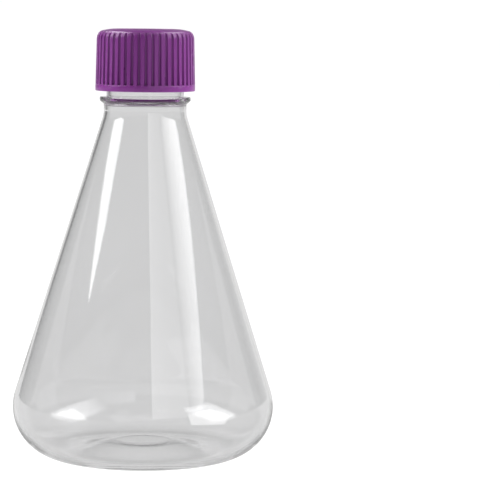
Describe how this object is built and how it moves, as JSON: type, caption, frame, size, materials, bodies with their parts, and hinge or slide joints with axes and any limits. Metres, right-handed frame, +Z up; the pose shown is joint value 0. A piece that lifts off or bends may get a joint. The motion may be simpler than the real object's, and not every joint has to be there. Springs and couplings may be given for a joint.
{
  "type": "erlenmeyer shake flask",
  "caption": "Clear conical laboratory flask with a rounded heel, a collared screw neck and a ribbed purple vented screw cap.",
  "frame": {"origin": "centre of the foot ring, on the surface that the flask stands on", "axes": "+Z up the flask's axis, through the neck and the cap; -Y towards the viewer"},
  "size_m": [0.131, 0.131, 0.2145],
  "materials": {
    "clear_plastic": "clear, polished by the mould",
    "purple_plastic": "satin moulded",
    "vent_membrane": "fibrous, matt",
    "natural_plastic": "translucent natural, satin",
    "silicone": "matt"
  },
  "bodies": {
    "flask": {"flask_body": "clear_plastic"},
    "seal": {"seal_ring": "silicone"},
    "cap": {"cap_shell": "purple_plastic", "vent_membrane": "vent_membrane", "membrane_retainer": "natural_plastic"}
  },
  "joints": [
    {"name": "cap_rise", "type": "slide", "parent": "flask", "child": "seal", "axis": [0, 0, 1], "range_m": [0, 0.034]},
    {"name": "cap_turn", "type": "hinge", "parent": "seal", "child": "cap", "pos_m": [0, 0, 0.2], "axis": [0, 0, 1], "range_deg": [0, 2880]}
  ],
  "couplings": [
    {"joint": "cap_rise", "follows": "cap_turn", "m_per_rad": 0.00067375}
  ]
}
